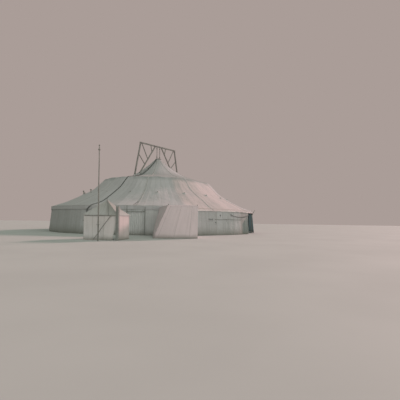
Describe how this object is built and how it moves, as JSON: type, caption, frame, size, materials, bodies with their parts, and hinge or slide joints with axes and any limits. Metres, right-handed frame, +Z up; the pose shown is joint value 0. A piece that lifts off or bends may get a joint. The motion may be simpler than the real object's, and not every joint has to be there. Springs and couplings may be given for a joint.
{
  "type": "circus big top tent",
  "caption": "Round canvas big top hung from a timber gantry, on poles, with walls, porch, ticket booth and flag mast.",
  "frame": {"origin": "on the ground under the middle of the whole footprint", "axes": "+Z up, -Y towards the side with the entrance, the porch and the booth, +X to the right seen from there"},
  "size_m": [26.9, 36.125, 11.585],
  "materials": {
    "roof_canvas": "weathered undyed cotton canvas",
    "wall_canvas": "weathered undyed cotton canvas",
    "booth_canvas": "newer, paler canvas",
    "timber": "dark weathered timber",
    "iron": "dull black iron",
    "rope": "tarred hemp"
  },
  "bodies": {
    "root": {"gantry_beam": "timber", "gantry_leg_front": "timber", "gantry_leg_back": "timber", "gantry_diagonal_front": "timber", "gantry_diagonal_back": "timber", "gantry_brace_front_outer": "timber", "gantry_brace_front_middle": "timber", "gantry_brace_front_inner": "timber", "gantry_brace_back_outer": "timber", "gantry_brace_back_middle": "timber", "gantry_brace_back_inner": "timber", "crown_ring_and_falls": "iron", "roof_section_1": "roof_canvas", "roof_section_2": "roof_canvas", "roof_section_3": "roof_canvas", "roof_section_4": "roof_canvas", "roof_section_5": "roof_canvas", "roof_section_6": "roof_canvas", "roof_section_7": "roof_canvas", "roof_section_8": "roof_canvas", "roof_section_9": "roof_canvas", "roof_section_10": "roof_canvas", "quarter_pole_1": "timber", "quarter_pole_2": "timber", "quarter_pole_3": "timber", "quarter_pole_4": "timber", "quarter_pole_5": "timber", "quarter_pole_6": "timber", "quarter_pole_7": "timber", "quarter_pole_8": "timber", "quarter_pole_9": "timber", "quarter_pole_10": "timber", "outer_poles_right": "timber", "outer_poles_back": "timber", "outer_poles_left": "timber", "outer_poles_front": "timber", "side_poles_right": "timber", "side_poles_back": "timber", "side_poles_left": "timber", "side_poles_front": "timber", "wall_right": "wall_canvas", "wall_back": "wall_canvas", "wall_left": "wall_canvas", "wall_front": "wall_canvas", "wall_front_right": "wall_canvas", "entrance_curtain": "wall_canvas", "entrance_frame": "timber", "drawn_wall_flap": "wall_canvas", "porch_frame": "timber", "porch_roof": "roof_canvas", "porch_walls": "booth_canvas", "booth_roof": "booth_canvas", "booth_front_wall": "booth_canvas", "booth_right_wall": "booth_canvas", "booth_frame": "timber", "booth_corner_post": "timber", "booth_bar_and_prop": "timber", "flag_mast": "timber"}
  },
  "joints": []
}
